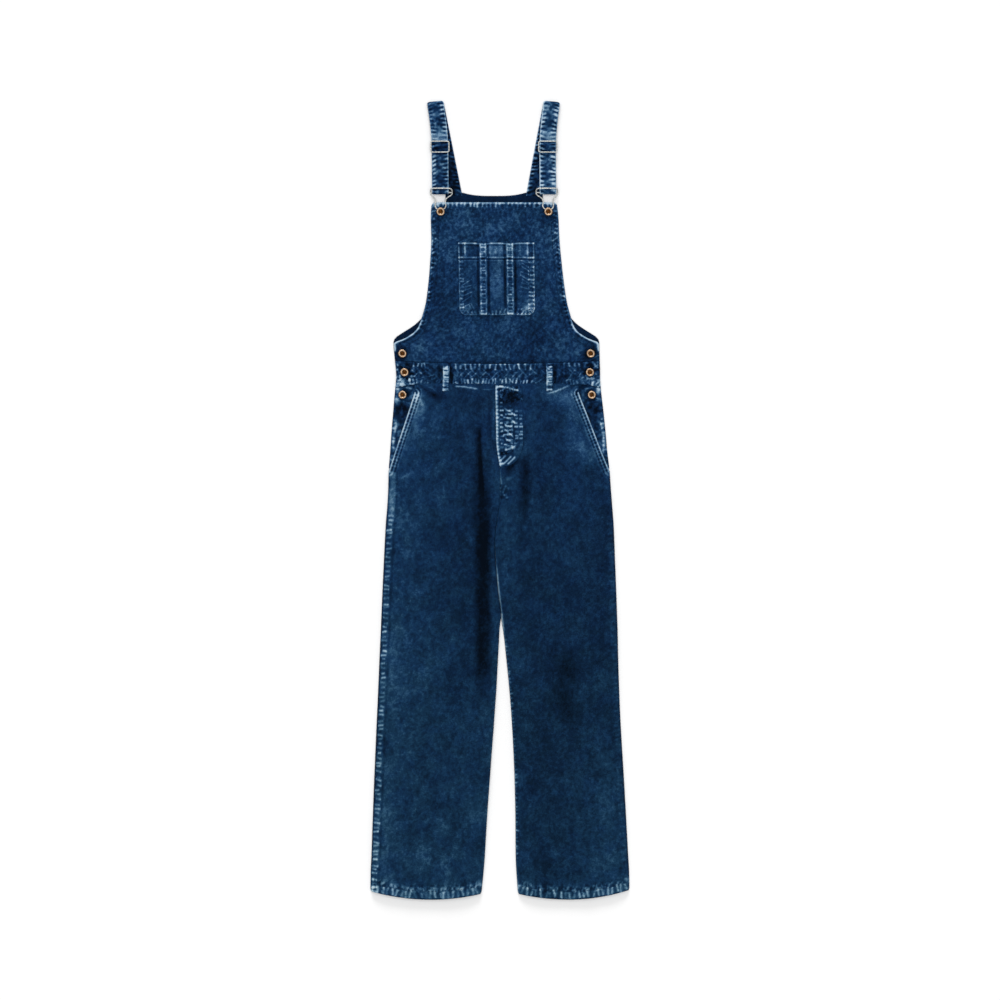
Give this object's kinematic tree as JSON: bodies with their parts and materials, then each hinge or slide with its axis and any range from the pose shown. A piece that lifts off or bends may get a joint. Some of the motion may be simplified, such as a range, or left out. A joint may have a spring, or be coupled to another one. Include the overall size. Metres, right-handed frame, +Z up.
{
  "type": "bib overalls",
  "caption": "Bib overalls in washed denim lying flat: long straight legs, waistband with belt loops, bib with patch pocket, straps buckled over the shoulder, button side openings.",
  "frame": {"origin": "middle of the box around the garment, on the surface that it lies on", "axes": "+X across the garment towards the wearer's left, +Y up the garment from the hems to the straps, +Z up out of its front"},
  "size_m": [0.456, 1.4042, 0.0108],
  "materials": {
    "denim": "washed dark indigo denim, matte, mottled",
    "denim_faded": "the same denim worn paler along puckered seams and straps, matte",
    "denim_inside": "the same denim in the garment's inside and back, unworn, matte",
    "button_copper": "aged copper, satin, darker in its open middle",
    "buckle_nickel": "warm nickel wire, satin"
  },
  "bodies": {
    "root": {"leg_front_left": "denim", "leg_front_right": "denim", "bib_front": "denim", "bib_pocket": "denim", "waistband_front": "denim_faded", "fly": "denim_faded", "belt_loop_left": "denim_faded", "belt_loop_right": "denim_faded", "pocket_strip_left": "denim_faded", "pocket_strip_right": "denim_faded", "strap_left": "denim_faded", "strap_right": "denim_faded", "leg_back_left": "denim_inside", "leg_back_right": "denim_inside", "bib_back": "denim_inside", "waistband_back": "denim_inside", "pocket_facing_left": "denim_inside", "pocket_facing_right": "denim_inside", "bib_button_left": "button_copper", "bib_button_right": "button_copper", "side_button_1_left": "button_copper", "side_button_1_right": "button_copper", "side_button_2_left": "button_copper", "side_button_2_right": "button_copper", "side_button_3_left": "button_copper", "side_button_3_right": "button_copper", "slider_left": "buckle_nickel", "slider_right": "buckle_nickel", "buckle_left": "buckle_nickel", "buckle_right": "buckle_nickel"}
  },
  "joints": []
}
